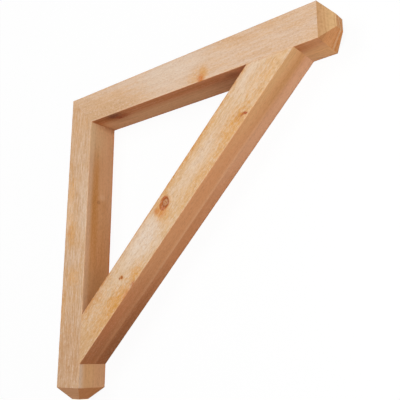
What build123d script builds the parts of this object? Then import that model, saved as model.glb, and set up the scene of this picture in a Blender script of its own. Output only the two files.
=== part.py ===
"""Sawn timber bracket: a wall post and a top beam mitred at the heel, with a diagonal brace between them.

The bracket lies on its side, as it would on a floor. X runs along the beam, away from the wall face.
Y runs along the post, towards the beam's top face. Z is up, across the timbers. The origin is on the
floor, under the centre of the bracket's box.
"""

import os

from build123d import *

# Driving dimensions, in millimetres
PROJECTION = 965.2  # from the wall face to the tip of the beam
DROP = 965.2  # from the top face to the tip of the post
WIDTH = 101.6  # of every timber, across the bracket, so that the sides are flush
BEAM_DEPTH = 101.6  # from the beam's top face to its underside
POST_DEPTH = 101.6  # from the wall face to the post's outer face
BRACE_DEPTH = 101.6  # across the brace, in the plane of the bracket
BEAM_TAIL = 101.6  # beam left beyond the brace, tip included
POST_TAIL = 101.6  # post left below the brace, tip included
TIP_BEVEL = 33.9  # legs of the 45 degree bevel on the four sides of each tip
ARRIS_RADIUS = 1.5  # long edges of the sawn timber, eased before it is cut to length

# Directions: out along the beam, down along the post, and up from the floor
OUT = Vector(1, 0, 0)
DOWN = Vector(0, -1, 0)
UP = Vector(0, 0, 1)

# Corners that the pieces share, seen from above
HEEL = Vector(-PROJECTION / 2, DROP / 2)
INNER_CORNER = HEEL + OUT * POST_DEPTH + DOWN * BEAM_DEPTH
BEAM_TIP = HEEL + OUT * PROJECTION
POST_TIP = HEEL + DOWN * DROP
BEAM_SEAT = INNER_CORNER + OUT * (PROJECTION - BEAM_TAIL - POST_DEPTH)
POST_SEAT = INNER_CORNER + DOWN * (DROP - POST_TAIL - BEAM_DEPTH)

# Planes that the pieces meet on, each facing the side that is named after it
MITRE_BEAM_SIDE = Plane(origin=HEEL, z_dir=UP.cross(INNER_CORNER - HEEL))
POST_FACE_OUTSIDE = Plane(origin=INNER_CORNER, z_dir=OUT)
BEAM_FACE_BELOW = Plane(origin=INNER_CORNER, z_dir=DOWN)


def sawn_timber(start, end, depth, spare=0):
    """A length of timber with its long edges eased. Its outer face runs from start to end, its depth
    lies to the left of that run, and spare is left beyond each end for a slanting cut."""
    run = end - start
    along = run.normalized()
    stand = Plane(origin=start - along * spare, x_dir=along, z_dir=UP)
    timber = stand * Box(run.length + 2 * spare, depth, WIDTH, align=Align.MIN)
    long_edges = timber.edges().filter_by(Axis(start, along))
    return fillet(long_edges, ARRIS_RADIUS)


def bevel_tip(timber, outer_corner, outward, inward, depth):
    """Saws a 45 degree bevel on each of the four sides of a tip. The outer face ends at outer_corner,
    outward points off the end of the timber, and inward points from the outer face to the inner one."""
    centre = outer_corner + inward * (depth / 2) + UP * (WIDTH / 2)
    sides = ((inward, depth / 2), (-inward, depth / 2), (UP, WIDTH / 2), (-UP, WIDTH / 2))
    for side, half in sides:
        start = centre + side * half - outward * TIP_BEVEL
        timber = split(timber, Plane(origin=start, z_dir=outward + side), keep=Keep.BOTTOM)
    return timber


def top_beam():
    """Runs out from the mitred heel to a bevelled tip."""
    timber = sawn_timber(BEAM_TIP, HEEL, BEAM_DEPTH)
    timber = split(timber, MITRE_BEAM_SIDE, keep=Keep.TOP)
    return bevel_tip(timber, BEAM_TIP, OUT, DOWN, BEAM_DEPTH)


def wall_post():
    """Hangs from the mitred heel to a bevelled tip."""
    timber = sawn_timber(HEEL, POST_TIP, POST_DEPTH)
    timber = split(timber, MITRE_BEAM_SIDE, keep=Keep.BOTTOM)
    return bevel_tip(timber, POST_TIP, DOWN, OUT, POST_DEPTH)


def diagonal_brace():
    """Runs from the post to the beam, each end sawn to sit flat on the face that it meets."""
    timber = sawn_timber(POST_SEAT, BEAM_SEAT, BRACE_DEPTH, spare=2 * BRACE_DEPTH)
    timber = split(timber, POST_FACE_OUTSIDE, keep=Keep.TOP)
    return split(timber, BEAM_FACE_BELOW, keep=Keep.TOP)


PIECES = {"top_beam": top_beam, "wall_post": wall_post, "diagonal_brace": diagonal_brace}

os.makedirs("parts", exist_ok=True)
for name, make in PIECES.items():
    piece = make()
    export_step(piece, f"parts/{name}.step")
    size = piece.bounding_box().size
    print(f"{name}: {piece.volume / 1e6:.3f} litres, {size.X:.1f} x {size.Y:.1f} x {size.Z:.1f} mm")
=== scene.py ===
# %% [markdown]
# # A sawn timber bracket
# The bracket is three lengths of softwood: a post that goes against the wall, a beam that carries the
# eave, and a brace that keeps the corner square. It lies on its side on a pale floor. Its sizes come from
# the packed model, so this lesson is about wood: what a saw leaves on it, and how it grew.

# %% Load the packed bracket
from math import atan2, degrees, tau

import bpy
from mathutils import Matrix, Vector


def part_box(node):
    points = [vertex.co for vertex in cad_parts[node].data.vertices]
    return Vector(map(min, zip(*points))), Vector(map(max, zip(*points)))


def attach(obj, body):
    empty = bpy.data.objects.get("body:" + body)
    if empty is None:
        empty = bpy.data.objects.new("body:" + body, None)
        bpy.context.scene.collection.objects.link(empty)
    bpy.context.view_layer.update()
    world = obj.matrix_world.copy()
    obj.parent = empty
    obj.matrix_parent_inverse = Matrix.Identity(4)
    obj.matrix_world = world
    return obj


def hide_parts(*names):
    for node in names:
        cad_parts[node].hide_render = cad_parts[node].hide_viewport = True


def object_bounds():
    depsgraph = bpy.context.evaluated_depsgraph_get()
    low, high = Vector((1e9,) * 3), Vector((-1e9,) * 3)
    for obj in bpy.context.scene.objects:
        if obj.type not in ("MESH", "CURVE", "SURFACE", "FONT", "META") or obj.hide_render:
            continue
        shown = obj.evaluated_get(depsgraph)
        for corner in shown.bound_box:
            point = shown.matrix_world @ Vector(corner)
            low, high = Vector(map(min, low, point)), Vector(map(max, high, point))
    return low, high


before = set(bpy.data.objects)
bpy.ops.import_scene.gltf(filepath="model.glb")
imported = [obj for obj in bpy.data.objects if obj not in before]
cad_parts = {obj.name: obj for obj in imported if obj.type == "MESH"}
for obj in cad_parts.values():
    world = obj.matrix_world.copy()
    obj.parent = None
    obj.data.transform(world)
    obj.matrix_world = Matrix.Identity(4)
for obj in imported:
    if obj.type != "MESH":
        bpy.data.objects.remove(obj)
cad_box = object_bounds()
print("bracket box in metres:", [round(side, 4) for side in cad_box[1] - cad_box[0]])

# %% [markdown]
# ## The camera
# The camera's place and lens were worked out from the bracket's straight edges in the picture. A camera
# that looks down can be turned about its own line of sight, so one direction is named as upright: here it
# is the row's +Y, the direction in which the post stands.

# %% Place the camera
CAMERA_PLACE = Vector((1.0557, -0.3601, 1.2718))
CAMERA_AIM = Vector((0.0376, 0.0575, 0.0508))
LENS_MM = 53.76
SENSOR_MM = 36.0
UPRIGHT = Vector((0, 1, 0))


def looking(place, aim, upright):
    """The turn of a camera or lamp at place that faces aim, with upright held upright."""
    back = (place - aim).normalized()
    right = upright.cross(back).normalized()
    return Matrix((right, back.cross(right), back)).transposed().to_euler()


def add_object(name, data):
    """A new object in the scene."""
    added = bpy.data.objects.new(name, data)
    bpy.context.scene.collection.objects.link(added)
    return added


camera = add_object("camera", bpy.data.cameras.new("camera"))
camera.location = CAMERA_PLACE
camera.rotation_euler = looking(CAMERA_PLACE, CAMERA_AIM, UPRIGHT)
camera.data.lens = LENS_MM
camera.data.sensor_width = SENSOR_MM
bpy.context.scene.camera = camera
print("the camera stands", round((CAMERA_AIM - CAMERA_PLACE).length, 2), "m from what it looks at")

# %% [markdown]
# ## Reading the timbers from the model
# Each timber is a square stick that was sawn to length. Everything that the looks need can be read from
# the packed solids: where a stick starts, which way it runs, how deep and wide it is, and how far each
# of its ends is cut back. A stick's own frame is u along it, v to the left of its run, and w upwards. Of
# its two planed sides, the marked one, on the left (1) or on the right (-1), is where stains are placed.

# %% Measure the shared faces
SAME_PLACE = 1e-4
beam_low, beam_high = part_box("top_beam")
post_low, post_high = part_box("wall_post")
brace_low, brace_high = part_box("diagonal_brace")
width = beam_high.z - beam_low.z
beam_depth = beam_high.y - beam_low.y
post_depth = post_high.x - post_low.x
brace_run = brace_high - brace_low
brace_run.z = 0


def furthest(node, direction, origin):
    """How far a packed node goes in a direction, from a point."""
    return max((corner.co - origin).dot(direction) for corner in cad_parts[node].data.vertices)


def tip_width(node, outward):
    """The width of the small flat at the end of a bevelled timber."""
    corners = [corner.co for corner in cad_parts[node].data.vertices]
    far = max(place.dot(outward) for place in corners)
    heights = [place.z for place in corners if place.dot(outward) > far - SAME_PLACE]
    return max(heights) - min(heights)


brace_left = Vector((-brace_run.y, brace_run.x, 0)).normalized()
brace_depth = furthest("diagonal_brace", brace_left, brace_low)
tip_bevel = (width - tip_width("top_beam", Vector((1, 0, 0)))) / 2
print("timber", round(width, 4), "wide, brace", round(brace_depth, 4), "deep, bevel", round(tip_bevel, 4))

# %% Describe the three timbers
BEAM, POST, BRACE = "top_beam", "wall_post", "diagonal_brace"
TIMBERS = {
    BEAM: {
        "start": Vector(beam_low),
        "along": Vector((1, 0, 0)),
        "length": beam_high.x - beam_low.x,
        "depth": beam_depth,
        "start_cut": (post_depth, 0.0),
        "end_cut": (0.0, 0.0),
        "bevel": tip_bevel,
        "marked_side": -1.0,
    },
    POST: {
        "start": Vector((post_low.x, beam_high.y, post_low.z)),
        "along": Vector((0, -1, 0)),
        "length": beam_high.y - post_low.y,
        "depth": post_depth,
        "start_cut": (0.0, beam_depth),
        "end_cut": (0.0, 0.0),
        "bevel": tip_bevel,
        "marked_side": 1.0,
    },
    BRACE: {
        "start": Vector(brace_low),
        "along": brace_run.normalized(),
        "length": brace_run.length,
        "depth": brace_depth,
        "start_cut": (0.0, brace_depth * brace_run.y / brace_run.x),
        "end_cut": (0.0, brace_depth * brace_run.x / brace_run.y),
        "bevel": 0.0,
        "marked_side": -1.0,
    },
}


def turn_of(timber):
    """The angle about the upright axis from the row's +X to a timber's run."""
    return atan2(timber["along"].y, timber["along"].x)


for name, timber in TIMBERS.items():
    print(name, "runs", round(timber["length"], 4), "m at", round(degrees(turn_of(timber)), 1), "degrees")

# %% [markdown]
# ## A helper for wiring nodes
# Shapes and finishes are both made by node trees here. A tree reads best as a few formulas, so this
# small helper adds one node at a time, feeds its sockets with numbers or with other sockets, and hands
# back its output to be used in the next line.

# %% Define the wiring helper
SEED_SHIFTS = (7.3, 3.1, 5.7)


class Wiring:
    """A node tree that is being wired. Most methods add a node and give back its first output."""

    def __init__(self, tree):
        self.tree = tree

    def node(self, kind, feeds=None, **options):
        """Adds a node, sets its options and feeds its sockets. Gives back the node itself."""
        node = self.tree.nodes.new(kind)
        for option, value in options.items():
            setattr(node, option, value)
        for socket, value in (feeds or {}).items():
            self.feed(node.inputs[socket], value)
        return node

    def put(self, kind, feeds=None, **options):
        return self.node(kind, feeds, **options).outputs[0]

    def feed(self, socket, value):
        """Links a socket to another one, or sets its number."""
        if isinstance(value, bpy.types.NodeSocket):
            self.tree.links.new(value, socket)
        else:
            socket.default_value = value

    def calc(self, operation, *terms):
        return self.put("ShaderNodeMath", dict(enumerate(terms)), operation=operation)

    def plus(self, first, second):
        return self.calc("ADD", first, second)

    def minus(self, first, second):
        return self.calc("SUBTRACT", first, second)

    def times(self, product, *factors):
        for factor in factors:
            product = self.calc("MULTIPLY", product, factor)
        return product

    def times_plus(self, first, second, added):
        return self.calc("MULTIPLY_ADD", first, second, added)

    def over(self, first, second):
        return self.calc("DIVIDE", first, second)

    def vector(self, operation, *terms):
        return self.put("ShaderNodeVectorMath", dict(enumerate(terms)), operation=operation)

    def length(self, vector):
        return self.node("ShaderNodeVectorMath", {0: vector}, operation="LENGTH").outputs["Value"]

    def split(self, vector):
        return self.node("ShaderNodeSeparateXYZ", {0: vector}).outputs

    def join(self, x, y, z):
        return self.put("ShaderNodeCombineXYZ", {"X": x, "Y": y, "Z": z})

    def remap(self, value, low, high, to_low=0.0, to_high=1.0):
        """Takes low to to_low and high to to_high, with a soft start and end."""
        feeds = {"Value": value, "From Min": low, "From Max": high, "To Min": to_low, "To Max": to_high}
        return self.put("ShaderNodeMapRange", feeds, interpolation_type="SMOOTHSTEP")

    def noise(self, place, waves, seed, detail=2.0, roughness=0.5):
        """Noise from 0 to 1 with about this many waves in a metre along u, v and w."""
        start = tuple(seed * shift for shift in SEED_SHIFTS)
        stretched = self.vector("MULTIPLY_ADD", place, waves, start)
        feeds = {"Vector": stretched, "Scale": 1.0, "Detail": detail, "Roughness": roughness}
        return self.put("ShaderNodeTexNoise", feeds)


print("the wiring helper has", len([name for name in vars(Wiring) if name[0] != "_"]), "methods")

# %% [markdown]
# ## The timber, as a rule
# A sawn timber is a section swept along a line, so it suits Geometry Nodes better than a pushed-about
# cube: one tree makes all three sticks from their sizes. The section is a square with eased corners. The
# rail has one point for each ring of the mesh, so that a ring's number tells how far along it lies.

# %% Name the tree's inputs
SIZE_INPUTS = (
    "Length", "Depth", "Width", "Bevel",
    "Start Cut Right", "Start Cut Left", "End Cut Right", "End Cut Left",
    "Ring Spacing", "Side Spacing", "Arris Radius", "Arris Wear",
    "Saw Pitch", "Saw Depth", "Saw Slant", "Seed",
)
INPUT_KINDS = dict.fromkeys(SIZE_INPUTS, "Float") | {"Place": "Vector", "Turn": "Vector", "Wood": "Material"}
timber_tree = bpy.data.node_groups.new("sawn_timber", "GeometryNodeTree")
for title, kind in INPUT_KINDS.items():
    timber_tree.interface.new_socket(title, in_out="INPUT", socket_type="NodeSocket" + kind)
timber_tree.interface.new_socket("Timber", in_out="OUTPUT", socket_type="NodeSocketGeometry")
wires = Wiring(timber_tree)
sizes = wires.node("NodeGroupInput").outputs
print("the timber tree takes", len(INPUT_KINDS), "inputs")

# %% Count the rings along the stick
body = wires.minus(sizes["Length"], sizes["Bevel"])
half_width = wires.over(sizes["Width"], 2.0)
half_depth = wires.over(sizes["Depth"], 2.0)
flat = wires.minus(half_width, sizes["Bevel"])
has_bevel = wires.calc("SIGN", sizes["Bevel"])


def rings_over(distance):
    """How many rings of the mesh a distance along the stick takes."""
    return wires.calc("CEIL", wires.over(distance, sizes["Ring Spacing"]))


body_rings = rings_over(body)
bevel_rings = rings_over(sizes["Bevel"])
flat_rings = wires.times(rings_over(flat), has_bevel)
last_ring = wires.plus(wires.plus(body_rings, bevel_rings), flat_rings)
print("the rings are counted by", len(timber_tree.nodes), "nodes")

# %% Sweep the eased section along the rail
ARRIS_STEPS = 3
END_POINT = 1.5  # one point more than there are rings, and a half for safe rounding
rail_points = wires.plus(last_ring, END_POINT)
rail = wires.put("GeometryNodeMeshLine", {"Count": rail_points, "Offset": (1, 0, 0)})
rail = wires.put("GeometryNodeMeshToCurve", {"Mesh": rail})

feeds = {"Width": sizes["Depth"], "Height": sizes["Width"]}
section = wires.put("GeometryNodeCurvePrimitiveQuadrilateral", feeds)
feeds = {"Curve": section, "Count": ARRIS_STEPS, "Radius": sizes["Arris Radius"]}
section = wires.put("GeometryNodeFilletCurve", feeds, mode="POLY")
corner = wires.calc("MODULO", wires.put("GeometryNodeInputIndex"), ARRIS_STEPS + 1.0)
on_side = wires.calc("COMPARE", corner, float(ARRIS_STEPS), 0.5)
side_cuts = wires.calc("CEIL", wires.over(sizes["Depth"], sizes["Side Spacing"]))
side_cuts = wires.times(on_side, side_cuts)
section = wires.put("GeometryNodeSubdivideCurve", {"Curve": section, "Cuts": side_cuts})

feeds = {"Curve": rail, "Profile Curve": section, "Fill Caps": True}
swept = wires.put("GeometryNodeCurveToMesh", feeds)
held = wires.node("GeometryNodeCaptureAttribute", {"Geometry": swept})
held.capture_items.new("FLOAT", "Ring")
swept_place = wires.split(wires.put("GeometryNodeInputPosition"))
wires.feed(held.inputs["Ring"], swept_place[0])
ring = held.outputs["Ring"]
print("the section has", 4 * (ARRIS_STEPS + 1), "points before its sides are divided")

# %% [markdown]
# ## Cutting to length
# Each ring now slides to its place. Rings of the body spread evenly between the two end cuts, and a cut
# may stand further back on one side than on the other, which makes a mitre or a slanted seat. Past the
# body, the rings shrink towards the middle: first along the four bevels, then over the small end flat.

# %% Find how far along each point lies
body_share = wires.over(wires.calc("MINIMUM", ring, body_rings), body_rings)
past_body = wires.calc("MAXIMUM", wires.minus(ring, body_rings), 0.0)
past_bevel = wires.calc("MAXIMUM", wires.minus(past_body, bevel_rings), 0.0)
on_bevel = wires.over(wires.calc("MINIMUM", past_body, bevel_rings), bevel_rings)
on_flat = wires.over(past_bevel, flat_rings)
side_share = wires.plus(wires.over(swept_place[1], sizes["Depth"]), 0.5)


def cut_back(right, left):
    """How far an end is cut back at this point of the section, between its right and left faces."""
    return wires.times_plus(side_share, wires.minus(left, right), right)


start_back = cut_back(sizes["Start Cut Right"], sizes["Start Cut Left"])
end_back = cut_back(sizes["End Cut Right"], sizes["End Cut Left"])
along = wires.times(body_share, body)
along = wires.times_plus(on_bevel, sizes["Bevel"], along)
along = wires.times_plus(start_back, wires.minus(1.0, body_share), along)
along = wires.minus(along, wires.times(end_back, body_share))
print("with the end cuts, the tree has", len(timber_tree.nodes), "nodes")

# %% Shrink the rings at a bevelled tip
NEARLY_CLOSED = 0.97
inset = wires.times(on_bevel, sizes["Bevel"])
inset = wires.times_plus(wires.times(on_flat, NEARLY_CLOSED), flat, inset)
shrink_depth = wires.minus(1.0, wires.over(inset, half_depth))
shrink_width = wires.minus(1.0, wires.over(inset, half_width))
across = wires.times_plus(swept_place[1], shrink_depth, half_depth)
upward = wires.times_plus(swept_place[2], shrink_width, half_width)
feeds = {"Geometry": held.outputs["Geometry"], "Position": wires.join(along, across, upward)}
cut_timber = wires.put("GeometryNodeSetPosition", feeds)
print("the last ring closes to", round((1 - NEARLY_CLOSED) * 100), "% of the end flat")

# %% [markdown]
# ## What the saw leaves
# A band saw leaves shallow scallops, a little aslant, across the two sides that were never planed, which
# face up and down here. Handling wears the long edges unevenly. Both are real relief, a few tenths of a
# millimetre deep, and they only ever take wood away, so no side grows past its size. The relief fades out
# at the joints, where the timbers still meet flush.

# %% Shape the saw marks
PLANED_SHARE = 0.15
UNEVEN_FEED = 3.0
FEED_WAVES = (8.0, 1.5, 1.5)
BITE_WAVES = (14.0, 22.0, 22.0)
BITE_RANGE = (0.3, 0.7)
LEVEL_FACING = (0.6, 0.95)
here = wires.put("GeometryNodeInputPosition")
outward = wires.put("GeometryNodeInputNormal")
spot = wires.split(here)
facing = wires.split(outward)
level = wires.calc("ABSOLUTE", facing[2])
level_side = wires.remap(level, *LEVEL_FACING)
feed = wires.noise(here, FEED_WAVES, seed=0.37)
phase = wires.times_plus(wires.plus(spot[1], spot[2]), sizes["Saw Slant"], spot[0])
phase = wires.times_plus(feed, UNEVEN_FEED, wires.over(phase, sizes["Saw Pitch"]))
phase = wires.plus(phase, sizes["Seed"])
scallop = wires.times_plus(wires.calc("SINE", wires.times(phase, tau)), 0.5, 0.5)
bite = wires.remap(wires.noise(here, BITE_WAVES, seed=0.81), *BITE_RANGE)
bitten = wires.times(scallop, bite)
saw_mark = wires.times(bitten, level_side)
saw_depth = wires.times(sizes["Saw Depth"], wires.remap(level_side, 0.0, 1.0, PLANED_SHARE, 1.0))
saw_cut = wires.times(bitten, saw_depth)
print("a planed side keeps", PLANED_SHARE, "of the saw marks' depth")

# %% Wear the long edges and press the relief in
FADE_RINGS = 8.0
KNOCK_WAVES = (55.0, 18.0, 18.0)
KNOCK_RANGE = (0.42, 0.75)
ARRIS_FACING = (0.1, 0.45)
on_arris = wires.remap(wires.times(wires.calc("ABSOLUTE", facing[1]), level), *ARRIS_FACING)
knocks = wires.remap(wires.noise(here, KNOCK_WAVES, seed=0.53, detail=3.0), *KNOCK_RANGE)
wear = wires.times(on_arris, knocks, sizes["Arris Wear"])

fade_start = wires.remap(ring, 0.0, FADE_RINGS)
rings_left = wires.calc("ABSOLUTE", wires.minus(body_rings, ring))
rings_left = wires.times_plus(has_bevel, FADE_RINGS, rings_left)
fade = wires.times(fade_start, wires.remap(rings_left, 0.0, FADE_RINGS))
feeds = {"Vector": outward, "Scale": wires.times(wires.plus(saw_cut, wear), fade, -1.0)}
push = wires.put("ShaderNodeVectorMath", feeds, operation="SCALE")
print("the relief fades over", FADE_RINGS, "rings at a joint")

# %% [markdown]
# ## Marks for the finish, and the end of the tree
# The wood's finish has to know which faces the rough saw left, which were cut across the grain and which
# way these face, and where the saw marks and worn edges are. The tree writes all this on the mesh as
# attributes. Then it sets sharp edges, turns the stick into the bracket's frame and gives it its wood.

# %% Store the marks and close the tree
SHARP_EDGE = 0.6
PAST_LAST_RING = 0.25
ROUGH_FACING = (0.85, 0.97)
UPTURNED_FACING = (0.3, 0.6)
FLAT_FACING = (0.85, 0.95)
across_grain = wires.calc("GREATER_THAN", ring, wires.plus(body_rings, PAST_LAST_RING))
rough = wires.times(wires.remap(level, *ROUGH_FACING), wires.minus(1.0, across_grain))
upturned = wires.remap(level, *UPTURNED_FACING)
end_flat = wires.times(wires.remap(facing[0], *FLAT_FACING), across_grain)
marked = cut_timber
for title, value, domain in (
    ("rough_sawn", rough, "FACE"), ("end_grain", across_grain, "FACE"), ("upturned", upturned, "FACE"),
    ("end_flat", end_flat, "FACE"), ("saw_mark", saw_mark, "POINT"), ("worn_edge", on_arris, "POINT"),
):
    feeds = {"Geometry": marked, "Name": title, "Value": value}
    marked = wires.put("GeometryNodeStoreNamedAttribute", feeds, domain=domain)
sawn = wires.put("GeometryNodeSetPosition", {"Geometry": marked, "Offset": push})
smooth = wires.put("GeometryNodeSetShadeSmooth", {"Geometry": sawn, "Shade Smooth": True})
sharp = wires.calc("GREATER_THAN", wires.put("GeometryNodeInputMeshEdgeAngle"), SHARP_EDGE)
feeds = {"Geometry": smooth, "Selection": sharp, "Shade Smooth": False}
creased = wires.put("GeometryNodeSetShadeSmooth", feeds, domain="EDGE")
feeds = {"Geometry": creased, "Translation": sizes["Place"], "Rotation": sizes["Turn"]}
placed = wires.put("GeometryNodeTransform", feeds)
realized = wires.put("GeometryNodeRealizeInstances", {"Geometry": placed})
wooden = wires.put("GeometryNodeSetMaterial", {"Geometry": realized, "Material": sizes["Wood"]})
wires.node("NodeGroupOutput", {"Timber": wooden})
print("the timber tree has", len(timber_tree.nodes), "nodes")

# %% [markdown]
# ## Wood, as it grew
# Wood is a solid material: its figure runs through the stick, so a pattern in three dimensions gives the
# right stripes on the sides and the right arcs on the cut ends. Image textures would have to be matched
# at every edge. Each finish starts with the place of a point in its stick's own frame, which a Mapping
# node works out from the Object coordinates.

# %% Start a finish in a timber's own frame
GRIT_WAVES = (130.0, 230.0, 230.0)


def emptied_tree(owner):
    """The node tree of a material or a world, with nothing in it."""
    owner.use_nodes = True
    owner.node_tree.nodes.clear()
    return owner.node_tree


class Wood(Wiring):
    """The wiring of one timber's finish, with the values that its steps share."""

    def __init__(self, name, seed):
        self.material = bpy.data.materials.new(name + "_wood")
        super().__init__(emptied_tree(self.material))
        self.name, self.timber, self.seed = name, TIMBERS[name], seed
        coordinates = self.node("ShaderNodeTexCoord").outputs["Object"]
        self.place = self.local(coordinates, self.timber["start"], turn_of(self.timber))
        self.rough = self.on_mesh("rough_sawn")
        self.cut_end = self.on_mesh("end_grain")
        self.planed = self.minus(self.minus(1.0, self.rough), self.cut_end)
        self.grit = self.figure(GRIT_WAVES, 0.35, detail=3.0, roughness=0.7)

    def on_mesh(self, title):
        """A number that the timber tree wrote on the mesh."""
        return self.node("ShaderNodeAttribute", attribute_name=title).outputs["Fac"]

    def local(self, place, origin=(0, 0, 0), turn=0.0, size=(1, 1, 1)):
        """A place in a frame of its own, turned about the upright axis, in units of a size."""
        feeds = {"Vector": place, "Location": origin, "Rotation": (0, 0, turn), "Scale": size}
        return self.put("ShaderNodeMapping", feeds, vector_type="TEXTURE")

    def figure(self, waves, step, **options):
        """Noise in the stick's own frame, different for each stick and each step."""
        return self.noise(self.place, waves, self.seed + step, **options)

    def swing(self, noise, spread):
        """Takes noise to -1 and 1 where it is as far as spread from a half."""
        return self.remap(noise, 0.5 - spread, 0.5 + spread, -1.0, 1.0)

    def blend(self, share, first, second):
        """Mixes two colours."""
        feeds = {"Factor": share, "A": first, "B": second}
        return self.node("ShaderNodeMix", feeds, data_type="RGBA").outputs["Result"]


print("grit has", GRIT_WAVES[0], "grains in a metre along a stick")

# %% Mix the tones of the wood
def paint(red, green, blue):
    """A colour written in screen values from 0 to 255, as the shader wants it."""
    screen = [channel / 255 for channel in (red, green, blue)]
    linear = [c / 12.92 if c <= 0.04045 else ((c + 0.055) / 1.055) ** 2.4 for c in screen]
    return (*linear, 1.0)


SAPWOOD = paint(227, 205, 184)
PALE = paint(233, 212, 192)
CREAM = paint(240, 202, 164)
STRAW = paint(228, 183, 142)
PEACH = paint(230, 161, 110)
HONEY = paint(206, 142, 78)
GOLD = paint(220, 157, 79)
AMBER = paint(207, 122, 56)
RUSSET = paint(205, 130, 78)
UMBER = paint(164, 100, 58)
CINNAMON = paint(180, 92, 44)
print("sapwood as the shader sees it:", [round(channel, 3) for channel in SAPWOOD[:3]])

# %% [markdown]
# ## Bands through the thickness
# On a planed side the tree's years lie edge-on, as soft bands that run the whole length: pale sapwood,
# golden bands, red heartwood. A Color Ramp over the height in the stick lays them down, and slow noise
# makes them sway, because no tree grows quite straight. Cut ends drink more light than a side does, so they
# have ramps of their own: one for the cuts that face up or down, one for those that face sideways, and a
# single tone for the small flat at the tip. The brace's cuts are hidden in its seats.

# %% Lay the bands of each timber
def counts(table):
    """How many entries a table has for each timber."""
    return {name: len(entries) for name, entries in table.items()}


SIDE_BANDS = {
    BEAM: (
        (0.0, paint(225, 170, 123)), (0.42, paint(223, 168, 120)), (0.55, paint(215, 155, 106)),
        (0.72, RUSSET), (1.0, RUSSET),
    ),
    POST: (
        (0.0, paint(226, 172, 128)), (0.4, paint(222, 166, 119)), (0.78, paint(221, 168, 119)),
        (0.87, STRAW), (1.0, STRAW),
    ),
    BRACE: (
        (0.0, paint(216, 145, 96)), (0.395, paint(216, 145, 97)), (0.41, paint(236, 174, 127)),
        (0.47, paint(235, 172, 124)), (0.5, PEACH), (1.0, PEACH),
    ),
}
UPTURNED_END_BANDS = {
    BEAM: ((0.0, paint(227, 186, 135)), (0.75, paint(224, 180, 128)), (1.0, paint(203, 154, 106))),
    POST: ((0.0, paint(206, 148, 104)), (1.0, paint(208, 151, 108))),
}
SIDEWAYS_END_BANDS = {
    BEAM: (
        (0.0, paint(218, 150, 92)), (0.3, paint(228, 160, 102)), (0.7, paint(224, 154, 98)),
        (0.83, paint(212, 146, 92)), (0.89, paint(200, 136, 84)), (1.0, paint(196, 132, 80)),
    ),
    POST: ((0.0, paint(206, 134, 80)), (1.0, paint(202, 132, 80))),
}
END_FLAT_TONES = {BEAM: paint(226, 168, 114), POST: paint(204, 140, 92)}
BAND_SWAY = 0.03
SWAY_WAVES = (2.0, 5.0, 5.0)


def banded_tone(wood, bands):
    """The tone of a planed side or a cut end, from the height of a point in its stick."""
    share = wood.over(wood.split(wood.place)[2], width)
    sway = wood.minus(wood.figure(SWAY_WAVES, 0.1), 0.5)
    ramp = wood.node("ShaderNodeValToRGB", {"Fac": wood.times_plus(sway, BAND_SWAY, share)})
    stops = ramp.color_ramp.elements
    while len(stops) < len(bands):
        stops.new(1.0)
    for stop, (height, tone) in zip(stops, bands):
        stop.position = height
        stop.color = tone
    return ramp.outputs["Color"]


print("bands:", counts(SIDE_BANDS))

# %% [markdown]
# ## Rough-sawn sides
# Two sides were left as the saw cut them. Torn fibres scatter the light, so these sides look paler
# than the planed ones, and they are mottled in two tones: broad clouds from the way the tree grew, short
# tears that lean the way the blade went, long strands that follow the grain, and grit.

# %% Mottle the rough sides
ROUGH_TONES = {
    BEAM: (paint(224, 196, 172), paint(219, 178, 138)),
    POST: (paint(216, 181, 148), paint(211, 163, 114)),
    BRACE: (paint(227, 198, 167), paint(222, 178, 127)),
}
TEARS = {
    BEAM: {"lean": -0.3, "waves": (14.0, 60.0, 60.0)},
    POST: {"lean": 1.4, "waves": (9.0, 34.0, 34.0)},
    BRACE: {"lean": 0.2, "waves": (34.0, 62.0, 62.0)},
}
STRANDS = {
    BEAM: {"share": 0.45, "waves": (9.0, 150.0, 150.0)},
    POST: {"share": 0.7, "waves": (20.0, 190.0, 190.0)},
    BRACE: {"share": 0.4, "waves": (20.0, 190.0, 190.0)},
}
CLOUD_WAVES = (3.5, 11.0, 11.0)
CLOUD_SHARE = 0.5
TEAR_SHARE = 0.35
GRIT_SHARE = 0.45
MOTTLE_SPREAD = 0.18


def mottled_tone(wood):
    """The tone of a rough side: pale and warm fibres, mixed in clouds, tears, strands and grit."""
    tear, strand = TEARS[wood.name], STRANDS[wood.name]
    clouds = wood.figure(CLOUD_WAVES, 0.2)
    turned = wood.local(wood.place, turn=tear["lean"])
    tears = wood.noise(turned, tear["waves"], wood.seed + 0.3, detail=3.0, roughness=0.6)
    strands = wood.figure(strand["waves"], 0.33, roughness=0.6)
    middle = (CLOUD_SHARE + TEAR_SHARE + GRIT_SHARE + strand["share"]) / 2
    mottle = wood.times(clouds, CLOUD_SHARE)
    mottle = wood.times_plus(tears, TEAR_SHARE, mottle)
    mottle = wood.times_plus(strands, strand["share"], mottle)
    mottle = wood.times_plus(wood.grit, GRIT_SHARE, mottle)
    share = wood.remap(mottle, middle - MOTTLE_SPREAD, middle + MOTTLE_SPREAD)
    return wood.blend(share, *ROUGH_TONES[wood.name])


print("strands in a metre across:", {name: strand["waves"][1] for name, strand in STRANDS.items()})
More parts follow.
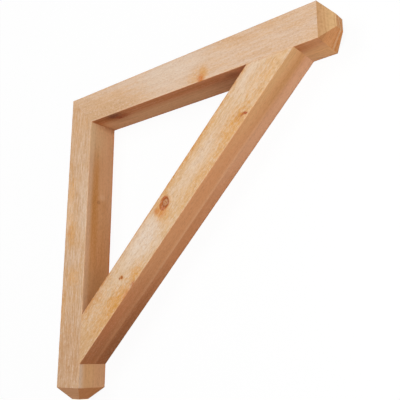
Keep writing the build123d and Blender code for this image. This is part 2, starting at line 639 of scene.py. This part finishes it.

# %% [markdown]
# ## One side stands for two
# A stick has two rough sides and two planed ones. The stains and knots below are placed on the side of
# each kind that shows best. Half a turn about the stick's middle brings a point of the opposite side onto
# that side, so both carry the same kind of marks, at different places along the stick. Only the painted
# shade in the corners stays on its own side, because the opposite side has no corner.

# %% Turn the opposite sides round
def marked_side(wood):
    """The place of a point, or of the point half a turn away where that lies on the marked side."""
    middle = Vector((wood.timber["length"], wood.timber["depth"], width)) / 2
    offset = wood.vector("SUBTRACT", wood.place, middle)
    _, sideways, upward = wood.split(offset)
    over = wood.calc("SIGN", upward)
    across = wood.calc("SIGN", wood.times(sideways, wood.timber["marked_side"]))
    on_rough = wood.calc("GREATER_THAN", wood.rough, 0.5)
    signs = wood.blend(on_rough, wood.join(across, across, 1.0), wood.join(over, 1.0, over))
    return wood.vector("MULTIPLY_ADD", offset, signs, middle)


halfway = {name: round(timber["length"] / 2, 3) for name, timber in TIMBERS.items()}
print("the sides turn about a point this far along:", halfway)

# %% [markdown]
# ## Stains and streaks
# Resin and heartwood show as golden or brown streaks, and old sapwood as pale patches. A few marks near the
# joints are painted shade, one of them is in part painted light, and thin lines along the long edges of the
# rough sides are a painted highlight on one edge and painted shade on the other. Each one is a stretched
# ball in the stick's own frame, and a Mapping node gives its middle and its size at once. Grain frays its
# rim, and on a rough side specks of grit break it up. Stains painted in an image would need a picture for
# every side.

# %% Describe a stain
NEAR = width  # the height of the rough side that shows
STAIN_DEPTH = 0.05
STAIN_CORE = 0.1


def stained(wood, colour, place, side, stains, fray, speckle=1.0):
    """Lays stains over a colour. They are placed along a rough side and across it, or along the marked
    planed side and upwards. Fray shifts their rims, and specks break them up."""
    level = wood.timber["depth"] if wood.timber["marked_side"] > 0 else 0.0
    for tone, strength, at, size in stains.get(wood.name, ()):
        if side == "rough":
            face, at, size = wood.rough, (*at, NEAR), (*size, STAIN_DEPTH)
        else:
            face, at, size = wood.planed, (at[0], level, at[1]), (size[0], STAIN_DEPTH, size[1])
        rim = wood.plus(wood.length(wood.local(place, at, size=size)), fray)
        share = wood.times(wood.remap(rim, STAIN_CORE, 1.0, strength, 0.0), face, speckle)
        colour = wood.blend(share, colour, tone)
    return colour


print("a stain has its full strength within", STAIN_CORE, "of its size")

# %% Place the stains on the rough sides
WARM = paint(206, 163, 121)
DULL = paint(199, 150, 108)
# The width of the painted highlight and painted shade along the edges.
EDGE_LIGHT_WIDTH = 0.008


def edge_light_and_shade(name, across, tone, strength):
    """A thin line along a whole edge of a rough side, the right one at 0 and the left one at 1. In cream it
    is a painted highlight on the edge that faces the light, in honey painted shade on the edge that faces
    away.
    """
    timber = TIMBERS[name]
    middle = (timber["length"] / 2, across * timber["depth"])
    return tone, strength, middle, (timber["length"], EDGE_LIGHT_WIDTH)


ROUGH_STAINS = {
    BEAM: (
        (WARM, 0.5, (0.02, 0.05), (0.16, 0.1)),
        (WARM, 0.75, (0.19, 0.01), (0.2, 0.065)),
        (SAPWOOD, 0.75, (0.45, 0.068), (0.22, 0.085)),
        (GOLD, 0.5, (0.555, 0.012), (0.06, 0.052)),
        (WARM, 0.2, (0.86, 0.045), (0.14, 0.09)),
        (GOLD, 0.12, (0.38, 0.012), (0.32, 0.03)),
        # Painted highlight in cream on the lit edge, painted shade in honey on the other.
        edge_light_and_shade(BEAM, 0.0, CREAM, 0.5),
        edge_light_and_shade(BEAM, 1.0, HONEY, 0.3),
    ),
    POST: (
        (GOLD, 0.25, (0.12, 0.03), (0.07, 0.05)),
        (CREAM, 0.55, (0.4, 0.012), (0.15, 0.032)),
        (SAPWOOD, 0.45, (0.4, 0.086), (0.18, 0.036)),
        (GOLD, 0.45, (0.32, 0.022), (0.06, 0.026)),
        (GOLD, 0.5, (0.46, 0.03), (0.08, 0.03)),
        (SAPWOOD, 0.3, (0.54, 0.05), (0.05, 0.1)),
        (GOLD, 0.5, (0.605, 0.045), (0.05, 0.045)),
        (GOLD, 0.6, (0.69, 0.004), (0.1, 0.028)),
        (DULL, 0.55, (0.86, 0.05), (0.22, 0.12)),
        # Painted highlight in cream on the lit edge, painted shade in honey on the other.
        edge_light_and_shade(POST, 0.0, HONEY, 0.6),
        edge_light_and_shade(POST, 1.0, CREAM, 0.4),
    ),
    BRACE: (
        (WARM, 0.5, (0.06, 0.03), (0.11, 0.07)),
        (GOLD, 0.3, (0.15, 0.05), (0.12, 0.15)),
        (GOLD, 0.4, (0.16, 0.01), (0.09, 0.05)),
        (HONEY, 0.6, (0.17, 0.102), (0.15, 0.036)),
        (AMBER, 0.4, (0.235, 0.008), (0.08, 0.04)),
        (GOLD, 0.9, (0.235, 0.012), (0.09, 0.048)),
        (GOLD, 0.8, (0.335, 0.014), (0.06, 0.04)),
        (PALE, 0.9, (0.43, 0.066), (0.13, 0.07)),
        (PALE, 0.45, (0.72, 0.056), (0.22, 0.04)),
        (GOLD, 0.45, (0.7, 0.008), (0.18, 0.038)),
        (GOLD, 0.75, (0.83, 0.018), (0.11, 0.05)),
        (GOLD, 0.3, (0.96, 0.02), (0.1, 0.06)),
        (PALE, 0.5, (0.948, 0.078), (0.075, 0.022)),
        (GOLD, 0.65, (0.72, 0.104), (0.34, 0.026)),
        (GOLD, 0.7, (0.52, 0.058), (0.045, 0.05)),
        (GOLD, 0.2, (0.55, 0.094), (0.55, 0.022)),
        # Painted highlight in cream on the lit edge, painted shade in honey on the other.
        edge_light_and_shade(BRACE, 0.0, CREAM, 0.3),
        edge_light_and_shade(BRACE, 1.0, HONEY, 0.7),
    ),
}
print("stains on rough sides:", counts(ROUGH_STAINS))

# %% Place the resin round the knots
RESIN_STAINS = {
    BEAM: (
        (GOLD, 0.62, (0.574, 0.023), (0.022, 0.03)),
        (AMBER, 1.0, (0.5645, 0.005), (0.02, 0.027)),
    ),
    POST: (
        (AMBER, 0.3, (0.455, 0.02), (0.03, 0.01)),
    ),
    BRACE: (
        (GOLD, 0.5, (0.515, 0.07), (0.03, 0.026)),
        (AMBER, 0.7, (0.5075, 0.08), (0.015, 0.013)),
        (CINNAMON, 0.8, (0.306, 0.001), (0.018, 0.012)),
        (AMBER, 0.65, (0.268, 0.001), (0.034, 0.012)),
        (HONEY, 0.45, (0.856, 0.02), (0.018, 0.026)),
        (AMBER, 0.65, (0.519, 0.063), (0.024, 0.021)),
    ),
}
print("resin on rough sides:", counts(RESIN_STAINS))

# %% Place the stains on the planed sides
TAN = paint(230, 178, 122)
PINKWOOD = paint(236, 178, 138)
BUFF = paint(240, 203, 156)
APRICOT = paint(247, 183, 122)
FLAME = paint(236, 138, 62)
RUST = paint(178, 82, 24)
CORAL = paint(236, 142, 92)
LOW_STREAK = 0.0075


def low_line(name, tone, strength):
    """A thin streak along the lower edge of the marked planed side."""
    length = TIMBERS[name]["length"]
    return tone, strength, (length / 2, 0.0), (length, LOW_STREAK)


PLANED_STAINS = {
    BEAM: (
        (UMBER, 0.5, (0.16, 0.09), (0.16, 0.035)),
        # Painted shade: the beam's planed side darkens towards its joint with the brace.
        (UMBER, 0.3, (0.65, 0.02), (0.16, 0.08)),
        (CINNAMON, 0.8, (0.216, 0.07), (0.056, 0.018)),
        (PEACH, 0.75, (0.945, 0.08), (0.085, 0.065)),
        (APRICOT, 0.8, (0.935, 0.03), (0.11, 0.05)),
        # In part paler wood and in part painted light: lifts the beam's planed side where the brace's shade
        # falls.
        (PEACH, 0.9, (0.695, 0.098), (0.11, 0.045)),
        (PEACH, 0.5, (0.572, 0.1), (0.075, 0.018)),
        (RUST, 0.75, (0.217, 0.0765), (0.036, 0.012)),
        (UMBER, 0.3, (0.2, 0.048), (0.06, 0.02)),
        (STRAW, 0.3, (0.135, 0.05), (0.035, 0.03)),
        low_line(BEAM, AMBER, 1.0),
    ),
    POST: (
        (HONEY, 1.0, (0.38, 0.07), (0.32, 0.024)),
        (HONEY, 0.55, (0.56, 0.036), (0.28, 0.07)),
        (HONEY, 0.4, (0.372, 0.038), (0.035, 0.024)),
        (STRAW, 0.6, (0.346, 0.042), (0.018, 0.018)),
        (TAN, 0.5, (0.88, 0.062), (0.09, 0.03)),
        (BUFF, 0.55, (0.12, 0.07), (0.14, 0.08)),
        (BUFF, 1.0, (0.1, NEAR), (0.14, 0.04)),
        (SAPWOOD, 0.45, (0.9, NEAR), (0.09, 0.018)),
        low_line(POST, FLAME, 0.8),
    ),
    BRACE: (
        # Both UMBER stains at the brace's post end are painted shade: the planed side darkens towards the
        # corner with the post.
        (UMBER, 0.72, (0.0, 0.05), (0.48, 0.2)),
        (CINNAMON, 0.2, (0.12, 0.05), (0.35, 0.2)),
        (UMBER, 0.8, (0.0, 0.012), (0.36, 0.06)),
        (PEACH, 0.45, (0.15, 0.0475), (0.28, 0.011)),
        (CORAL, 0.24, (0.19, 0.085), (0.2, 0.05)),
        (PINKWOOD, 1.0, (1.08, 0.01), (0.62, 0.075)),
        (TAN, 0.9, (1.08, NEAR), (0.4, 0.075)),
        (PINKWOOD, 0.4, (0.8, 0.034), (0.2, 0.02)),
        (HONEY, 0.6, (1.02, 0.0535), (0.3, 0.024)),
        low_line(BRACE, AMBER, 0.6),
    ),
}
print("stains on planed sides:", counts(PLANED_STAINS))

# %% Place the painted shade in the corners
# Painted shade: darker bands where the beam meets the post, and round the brace's seats on the beam and the
# post.
CORNER_SHADE_TONE = paint(150, 140, 95)
CORNER_SHADE = {
    BEAM: (
        (UMBER, 0.45, (post_depth, 0.015), (0.014, 0.09)),
        (UMBER, 0.5, (0.655, 0.078), (0.034, 0.018)),
    ),
    POST: (
        (UMBER, 0.5, (beam_depth, 0.015), (0.024, 0.09)),
        (CORNER_SHADE_TONE, 0.25, (0.66, 0.045), (0.13, 0.1)),
    ),
}
print("dust where timbers meet:", counts(CORNER_SHADE))

# %% [markdown]
# ## Knots
# A knot is the foot of a branch, cut through by the saw: a dark rim round a paler heart, or, where the
# branch was thin, only a dark fleck. Its rim is where a formula, the distance from the knot's own centre
# in units of its size, reaches 1. Painting rings by hand would not follow the branch into the wood.

# %% Describe a knot
KNOT_WOBBLE = 0.5
YEARS_IN_KNOT = 3.0
YEAR_CONTRAST = 0.2
HALO_FADE = (0.8, 2.0)
RIM_FADE = (0.95, 1.2)
HEART_FADE = (0.62, 0.84)


def knot(at, size, strength, tones, halo, lean=0.0):
    """A knot: its middle and half size, and its strength. Tones are those of the rim, the heart and the
    glow round it, and halo is the strength of the glow."""
    return {"at": at, "size": size, "strength": strength, "tones": tones, "halo": halo, "lean": lean}


def knot_reach(wood, marked, mark, wobble):
    """The distance from a knot, which is 1 at its rim."""
    even = wood.length(wood.local(marked, mark["at"], mark["lean"], mark["size"]))
    return wood.times_plus(wobble, KNOT_WOBBLE, wood.minus(even, KNOT_WOBBLE / 2))


def knotted(wood, colour, mark, reach):
    """Lays one knot over a colour: a warm halo, a dark rim and the heart with its rings."""
    face = wood.rough if mark["at"][2] == NEAR else wood.planed
    rim_tone, heart_tone, glow_tone = mark["tones"]
    halo = wood.remap(reach, *HALO_FADE, mark["halo"], 0.0)
    colour = wood.blend(wood.times(halo, face), colour, glow_tone)
    rim = wood.remap(reach, *RIM_FADE, mark["strength"], 0.0)
    colour = wood.blend(wood.times(rim, face), colour, rim_tone)
    years = wood.calc("SINE", wood.times(reach, tau * YEARS_IN_KNOT))
    years = wood.times_plus(years, YEAR_CONTRAST, 1 - YEAR_CONTRAST)
    heart = wood.remap(reach, *HEART_FADE, mark["strength"], 0.0)
    return wood.blend(wood.times(heart, years, face), colour, heart_tone)


print("a knot's heart holds", YEARS_IN_KNOT, "years out to its rim")

# %% Place the knots
BARK = paint(158, 78, 32)
COLLAR = paint(192, 114, 52)
HEART = paint(204, 156, 112)
RESIN = paint(172, 76, 42)
PITCH = paint(116, 56, 32)
EMBER = paint(182, 92, 42)
KNOTS = {
    BEAM: (
        knot((0.1925, 0.0, 0.0868), (0.03, 0.05, 0.0195), 0.8, (UMBER, PITCH, UMBER), 0.6),
        knot((0.1985, 0.0, 0.069), (0.01, 0.05, 0.0075), 1.0, (BARK, BARK, CINNAMON), 0.4),
    ),
    POST: (
        knot((0.364, post_depth, 0.056), (0.0065, 0.03, 0.007), 0.35, (UMBER, UMBER, HONEY), 0.4),
    ),
    BRACE: (
        knot((0.5404, 0.0722, NEAR), (0.0198, 0.015, 0.08), 0.9, (EMBER, COLLAR, GOLD), 0.5, lean=0.12),
        knot((0.546, 0.0697, NEAR), (0.0142, 0.0104, 0.08), 0.9, (BARK, HEART, EMBER), 0.3, lean=0.12),
        knot((0.5475, 0.0702, NEAR), (0.0018, 0.0072, 0.08), 0.6, (COLLAR, BARK, HEART), 0.0),
        knot((0.541, 0.0715, NEAR), (0.0016, 0.006, 0.08), 0.5, (COLLAR, BARK, HEART), 0.0),
        knot((0.2895, 0.0512, NEAR), (0.0056, 0.005, 0.04), 0.85, (COLLAR, BARK, GOLD), 0.7),
        knot((0.2815, 0.0552, NEAR), (0.003, 0.0034, 0.04), 0.6, (UMBER, UMBER, PEACH), 0.5),
        knot((0.875, 0.0125, NEAR), (0.008, 0.0034, 0.04), 0.9, (RESIN, RESIN, COLLAR), 0.5, lean=-0.9),
        knot((0.8665, 0.0165, NEAR), (0.006, 0.003, 0.04), 0.6, (RESIN, COLLAR, GOLD), 0.5, lean=-0.3),
    ),
}
print(sum(map(len, KNOTS.values())), "knots in", len(KNOTS), "timbers")

# %% [markdown]
# ## Growth rings
# Each year adds a soft pale layer and a thin dark one about the pith. The pith of these sticks lies
# outside them, so the rings cross the section as flat arcs: stripes on the bevelled tips, long faint
# arches on the rough sides. Good years and poor ones come in groups, which show as broader bands.

# %% Grow the rings
RING_WIDTH = 0.0062
GROUP_WIDTH = 0.021
PITHS = {BEAM: (0.05, -0.45), POST: (0.06, -0.16), BRACE: (0.05, -0.14)}
LATEWOOD = paint(176, 116, 66)
SLOW_WAVES = (2.6, 2.5, 6.0)
SLOW_SWAY = 0.024
QUICK_WAVES = (14.0, 60.0, 60.0)
QUICK_SWAY = 0.002
BULGE_REACH = (0.6, 3.0)
KNOT_BULGE = 0.012
DARK_RISE = (0.35, 0.9)
DARK_FALL = (0.92, 1.0)
GROUP_CONTRAST = 0.4


def from_line(wood, line):
    """The distance from a line along the stick, which is given across the stick and upwards."""
    return wood.length(wood.vector("MULTIPLY", wood.vector("SUBTRACT", wood.place, (0, *line)), (0, 1, 1)))


def growth_rings(wood, near_knot):
    """The dark part of each year's ring, from 0 to 1. The rings sway, and bulge round a knot."""
    radius = from_line(wood, PITHS[wood.name])
    radius = wood.times_plus(wood.figure(SLOW_WAVES, 0.4), SLOW_SWAY, radius)
    radius = wood.times_plus(wood.figure(QUICK_WAVES, 0.5), QUICK_SWAY, radius)
    radius = wood.plus(radius, wood.remap(near_knot, *BULGE_REACH, KNOT_BULGE, 0.0))
    year = wood.calc("FRACT", wood.over(radius, RING_WIDTH))
    dark = wood.times(wood.remap(year, *DARK_RISE), wood.remap(year, *DARK_FALL, 1.0, 0.0))
    group = wood.calc("SINE", wood.times(radius, tau / GROUP_WIDTH))
    return wood.times(dark, wood.times_plus(group, GROUP_CONTRAST, 1 - GROUP_CONTRAST))


print("a ring every", RING_WIDTH * 1000, "mm, a group of good years every", GROUP_WIDTH * 1000, "mm")

# %% [markdown]
# ## Arcs on the cut end
# Near the heart of the tree the rings bend more, and a few wide, pale ones with resin beside them stand
# out on the beam's cut end. Each is the set of points at one distance from a line along the stick.

# %% Draw the arcs
ARC_CENTRE = (0.085, -0.075)
END_ARCS = {
    BEAM: ((AMBER, 0.55, 0.137, 0.0034), (STRAW, 0.75, 0.1308, 0.0034), (AMBER, 0.7, 0.1236, 0.0042)),
}


def arced(wood, colour):
    """Lays arcs over a colour on the cut end: each has a tone, a strength, a radius and half a width."""
    for tone, strength, radius, half_width in END_ARCS.get(wood.name, ()):
        off = wood.calc("ABSOLUTE", wood.minus(from_line(wood, ARC_CENTRE), radius))
        share = wood.remap(off, 0.0, half_width, strength, 0.0)
        colour = wood.blend(wood.times(share, wood.cut_end), colour, tone)
    return colour


print("arcs on cut ends:", sum(map(len, END_ARCS.values())))

# %% [markdown]
# ## Fibres
# Softwood fibres run along the stick. On a rough side they are short torn tufts, coarser on one stick than
# on the next. On a planed side they are long fine lines, with small flecks. They shade the colour a little
# and raise the surface, and the saw marks' hollows hold dust. Noise stretched along the stick draws them
# all. Real strands would be far too many.

# %% Draw the fibres
TUFTS = {
    BEAM: {"waves": (18.0, 150.0, 150.0), "tint": 0.13, "lines": 0.14},
    POST: {"waves": (22.0, 230.0, 230.0), "tint": 0.32, "lines": 0.07},
    BRACE: {"waves": (45.0, 170.0, 170.0), "tint": 0.18, "lines": 0.07},
}
TUFT_SPREAD = 0.22
LINE_WAVES = (5.0, 170.0, 170.0)
HAIR_WAVES = (120.0, 500.0, 500.0)
HAIR_SPREAD = 0.25


def fibre_heights(wood):
    """Fibres from -1 to 1: tufts on the rough sides, lines on the others, and fine hairs on all."""
    tuft = wood.figure(TUFTS[wood.name]["waves"], 0.6, detail=3.0, roughness=0.65)
    line = wood.figure(LINE_WAVES, 0.7, detail=3.0, roughness=0.6)
    hair = wood.figure(HAIR_WAVES, 0.8, roughness=0.6)
    tuft = wood.times(wood.swing(tuft, TUFT_SPREAD), wood.rough)
    line = wood.times(wood.swing(line, TUFT_SPREAD), wood.minus(1.0, wood.rough))
    return tuft, line, wood.swing(hair, HAIR_SPREAD)


print("tufts in a metre:", {name: tufts["waves"][0] for name, tufts in TUFTS.items()})

# %% Tint a colour with its fibres
ROUGH_HAIR_TINT = 0.24
PLANED_HAIR_TINT = 0.12
FLECK_TINT = 0.08
FLECK_SPREAD = 0.2
DUST_TINT = 0.04
HAIR_HEIGHT = 0.4
TORN_FIBRES = (paint(176, 124, 80), paint(240, 219, 198))
CUT_FIBRES = (paint(120, 78, 50), paint(240, 196, 156))


def fibre_tinted(wood, colour, raised, tones):
    """A colour whose hollow fibres turn to the first tone, and whose raised ones turn to the second."""
    hollow = wood.calc("MAXIMUM", wood.times(raised, -1.0), 0.0)
    colour = wood.blend(hollow, colour, tones[0])
    return wood.blend(wood.calc("MAXIMUM", raised, 0.0), colour, tones[1])


def fibred(wood, colour):
    """A colour with its fibres, and the height of the fibres."""
    tuft, line, hair = fibre_heights(wood)
    torn = wood.times(hair, ROUGH_HAIR_TINT, wood.rough)
    torn = wood.times_plus(tuft, TUFTS[wood.name]["tint"], torn)
    torn = wood.times_plus(wood.on_mesh("saw_mark"), -DUST_TINT, torn)
    colour = fibre_tinted(wood, colour, torn, TORN_FIBRES)
    cut = wood.times(hair, PLANED_HAIR_TINT, wood.planed)
    cut = wood.times_plus(line, TUFTS[wood.name]["lines"], cut)
    fleck = wood.times(wood.swing(wood.grit, FLECK_SPREAD), wood.planed)
    cut = wood.times_plus(fleck, FLECK_TINT, cut)
    colour = fibre_tinted(wood, colour, cut, CUT_FIBRES)
    return colour, wood.times_plus(hair, HAIR_HEIGHT, wood.plus(tuft, line))


print("hairs tint a rough side by", ROUGH_HAIR_TINT, "and a planed one by", PLANED_HAIR_TINT)

# %% [markdown]
# ## Putting the wood together
# A finish is built up as a painter would: the ground tone of each kind of face, then rings, stains and
# knots over it, with some painted shade and painted highlights among the stains, a darker tone along the
# long edges, and last the fibres, which also give the bump. Dry sawn wood has almost no shine, and the
# planed sides have a little more of it than the rough ones.

# %% Give each kind of face its ground tone
def ground_tone(wood):
    """The tone of a face before its marks: banded, mottled, or that of a cut end."""
    side_tone = wood.blend(wood.rough, banded_tone(wood, SIDE_BANDS[wood.name]), mottled_tone(wood))
    if wood.name not in END_FLAT_TONES:
        return side_tone
    sideways = banded_tone(wood, SIDEWAYS_END_BANDS[wood.name])
    upturned = banded_tone(wood, UPTURNED_END_BANDS[wood.name])
    end_tone = wood.blend(wood.on_mesh("upturned"), sideways, upturned)
    end_tone = wood.blend(wood.on_mesh("end_flat"), end_tone, END_FLAT_TONES[wood.name])
    return wood.blend(wood.cut_end, side_tone, end_tone)


print("cut ends show on", ", ".join(END_FLAT_TONES))

# %% Lay all the stains over it
RAGGED_WAVES = (70.0, 120.0, 120.0)
RAGGED_FRAY = 1.5
STREAKY_WAVES = (5.0, 60.0, 60.0)
STREAKY_FRAY = 0.5
SPECKS = (0.36, 0.64, 0.45, 1.4)  # grit from and to, and the shares of a stain that it lets through


def all_stained(wood, colour, marked):
    """A colour with all the stains of its timber, some of them painted shade and painted highlights, and
    with the painted shade in its corners.
    """
    ragged = wood.figure(RAGGED_WAVES, 0.9, detail=4.0, roughness=0.7)
    ragged = wood.times_plus(ragged, -RAGGED_FRAY, RAGGED_FRAY / 2)
    streaky = wood.figure(STREAKY_WAVES, 0.95, detail=3.0)
    streaky = wood.times_plus(streaky, -STREAKY_FRAY, STREAKY_FRAY / 2)
    speckle = wood.remap(wood.grit, *SPECKS)
    colour = stained(wood, colour, marked, "rough", ROUGH_STAINS, ragged, speckle)
    colour = stained(wood, colour, marked, "rough", RESIN_STAINS, streaky)
    colour = stained(wood, colour, marked, "planed", PLANED_STAINS, streaky)
    # the painted shade in the corners, which stays on its own side
    return stained(wood, colour, wood.place, "planed", CORNER_SHADE, streaky)


print("grit lets", SPECKS[2], "to", SPECKS[3], "of a rough side's stain through")

# %% Wire the wood of one timber
WOBBLE_WAVES = (40.0, 60.0, 60.0)
RING_ON_SIDES = 0.08
RING_ON_ENDS = 0.35
# The share and tone of a darker band along the long edges.
EDGE_DARK_SHARE = 0.3
EDGE_DARK_TONE = paint(186, 126, 78)
RELIEF = {"Distance": 0.0004, "Strength": 0.4}
PLANED_ROUGHNESS = 0.68
SAWN_ROUGHNESS = 0.88
SHINE = 0.15


def sawn_softwood(name, seed):
    """The finish of one timber, all in the timber's own frame."""
    wood = Wood(name, seed)
    marked = marked_side(wood)
    wobble = wood.figure(WOBBLE_WAVES, 1.0)
    reaches = [knot_reach(wood, marked, mark, wobble) for mark in KNOTS[name]]
    near_knot = reaches[0]
    for reach in reaches[1:]:
        near_knot = wood.calc("MINIMUM", near_knot, reach)

    shown = wood.remap(wood.cut_end, 0.0, 1.0, RING_ON_SIDES, RING_ON_ENDS)
    colour = wood.blend(wood.times(growth_rings(wood, near_knot), shown), ground_tone(wood), LATEWOOD)
    colour = all_stained(wood, arced(wood, colour), marked)
    for mark, reach in zip(KNOTS[name], reaches):
        colour = knotted(wood, colour, mark, reach)
    # A darker tone along the long edges.
    colour = wood.blend(wood.times(wood.on_mesh("worn_edge"), EDGE_DARK_SHARE), colour, EDGE_DARK_TONE)

    colour, height = fibred(wood, colour)
    bump = wood.put("ShaderNodeBump", {"Height": height, **RELIEF})
    roughness = wood.remap(wood.rough, 0.0, 1.0, PLANED_ROUGHNESS, SAWN_ROUGHNESS)
    looks = {"Base Color": colour, "Normal": bump, "Roughness": roughness, "Specular IOR Level": SHINE}
    shader = wood.put("ShaderNodeBsdfPrincipled", looks)
    wood.node("ShaderNodeOutputMaterial", {"Surface": shader})
    return wood.material


woods = {name: sawn_softwood(name, seed=number + 1.0) for number, name in enumerate(TIMBERS)}
print("nodes in each finish:", {name: len(wood.node_tree.nodes) for name, wood in woods.items()})

# %% [markdown]
# ## Sawing the three timbers
# The same tree runs once for each stick. The evaluated result becomes a plain mesh, because the export
# keeps meshes and not modifiers, and each mesh takes the place of its packed solid.

# %% Make the timbers
CUT = {
    "Ring Spacing": 0.00125, "Side Spacing": 0.006, "Arris Radius": 0.0009, "Arris Wear": 0.0005,
    "Saw Pitch": 0.0065, "Saw Depth": 0.0003, "Saw Slant": 0.25,
}
SEED_STEP = 0.31


def saw_timber(name, timber, material, seed):
    """Runs the timber tree and gives back a plain mesh object in the bracket's frame."""
    host = add_object("host", bpy.data.meshes.new("host"))
    modifier = host.modifiers.new("sawn_timber", "NODES")
    modifier.node_group = timber_tree
    values = {
        **CUT, "Length": timber["length"], "Depth": timber["depth"], "Width": width,
        "Bevel": timber["bevel"], "Seed": seed, "Wood": material,
        "Start Cut Right": timber["start_cut"][0], "Start Cut Left": timber["start_cut"][1],
        "End Cut Right": timber["end_cut"][0], "End Cut Left": timber["end_cut"][1],
        "Place": timber["start"], "Turn": Vector((0, 0, turn_of(timber))),
    }
    for item in timber_tree.interface.items_tree:
        if item.in_out == "INPUT":
            modifier[item.identifier] = values[item.name]
    evaluated = host.evaluated_get(bpy.context.evaluated_depsgraph_get())
    mesh = bpy.data.meshes.new_from_object(evaluated)
    bpy.data.objects.remove(host)
    return add_object(name + "_timber", mesh)


for number, (name, timber) in enumerate(TIMBERS.items()):
    piece = saw_timber(name, timber, woods[name], seed=(number + 1) * SEED_STEP)
    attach(piece, "root")
    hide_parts(name)
    triangles = sum(len(face.vertices) - 2 for face in piece.data.polygons)
    print(piece.name, "has", triangles, "triangles")

# %% [markdown]
# ## Floor
# A plain white floor shows the wood's own colour. To a camera ray the floor is mostly its own white, so
# that it matches the backdrop, and a little of it is lit paint, which keeps the bracket's soft shadow. To
# every other ray it is pale grey paint, because a white floor would throw too much light up at the wood.

# %% Lay the floor
FLOOR_SIDE = 40.0
FLOOR_TONE = 0.6
FLOOR_GLOW = 0.92
FLOOR_DROP = 0.0002
WHITE = (1.0, 1.0, 1.0, 1.0)


def seen_directly(wires):
    """1 for a ray from the camera or a mirror-like bounce, which should see a white backdrop."""
    path = wires.node("ShaderNodeLightPath").outputs
    glossy = wires.calc("MAXIMUM", path["Is Glossy Ray"], path["Is Transmission Ray"])
    return wires.calc("MAXIMUM", path["Is Camera Ray"], glossy)


floor_finish = bpy.data.materials.new("pale_floor")
wires = Wiring(emptied_tree(floor_finish))
grey = (FLOOR_TONE, FLOOR_TONE, FLOOR_TONE, 1.0)
grey_paint = wires.put("ShaderNodeBsdfDiffuse", {"Color": grey})
white_paint = wires.put("ShaderNodeBsdfDiffuse", {"Color": WHITE})
glow = wires.put("ShaderNodeEmission", {"Color": WHITE, "Strength": 1.0})
bright = wires.put("ShaderNodeMixShader", {0: FLOOR_GLOW, 1: white_paint, 2: glow})
mixed = wires.put("ShaderNodeMixShader", {0: seen_directly(wires), 1: grey_paint, 2: bright})
wires.node("ShaderNodeOutputMaterial", {"Surface": mixed})

half = FLOOR_SIDE / 2
floor_mesh = bpy.data.meshes.new("floor")
corners = [(-half, -half, 0), (half, -half, 0), (half, half, 0), (-half, half, 0)]
floor_mesh.from_pydata(corners, [], [(0, 1, 2, 3)])
floor_mesh.materials.append(floor_finish)
floor = add_object("floor", floor_mesh)
floor.location.z = cad_box[0].z - FLOOR_DROP
print("the floor is", FLOOR_SIDE, "m wide")

# %% [markdown]
# ## Light
# Soft light from every side would leave the faces alike, so an even sky does a third of the work. Two
# wide lamps overhead light the near sides evenly, and one small lamp low on the right lifts the sides
# that face it. Their strengths were balanced on plain grey sticks, face by face. The backdrop is as bright
# as the far floor, so that no horizon shows.

# %% Hang the lamps
AMBIENT = 0.27
world = bpy.data.worlds.new("studio")
bpy.context.scene.world = world
wires = Wiring(emptied_tree(world))
soft = wires.put("ShaderNodeBackground", {"Color": WHITE, "Strength": AMBIENT})
far_floor = FLOOR_GLOW + (1 - FLOOR_GLOW) * AMBIENT
backdrop = wires.put("ShaderNodeBackground", {"Color": WHITE, "Strength": far_floor})
mixed = wires.put("ShaderNodeMixShader", {0: seen_directly(wires), 1: soft, 2: backdrop})
wires.node("ShaderNodeOutputWorld", {"Surface": mixed})

LAMPS = {
    "right_overhead": {"place": Vector((1.6, 0.0, 4.2)), "side": 2.0, "watts": 87.0},
    "left_overhead": {"place": Vector((-1.6, 1.6, 3.6)), "side": 2.0, "watts": 54.0},
    "low_right": {"place": Vector((1.3, -0.3, 0.6)), "side": 0.6, "watts": 3.6},
}
LAMP_AIM = Vector((0, 0, width / 2))
for name, lamp in LAMPS.items():
    light = bpy.data.lights.new(name, "AREA")
    light.size = lamp["side"]
    light.energy = lamp["watts"]
    holder = add_object(name, light)
    holder.location = lamp["place"]
    holder.rotation_euler = looking(lamp["place"], LAMP_AIM, UPRIGHT)
bpy.context.scene.view_settings.view_transform = "Standard"
print(len(LAMPS), "lamps and an even sky light the floor")

# %% [markdown]
# ## The boxes
# The finished timbers should fill the same box as the packed ones. Only the packed box is printed, when the
# model is loaded.
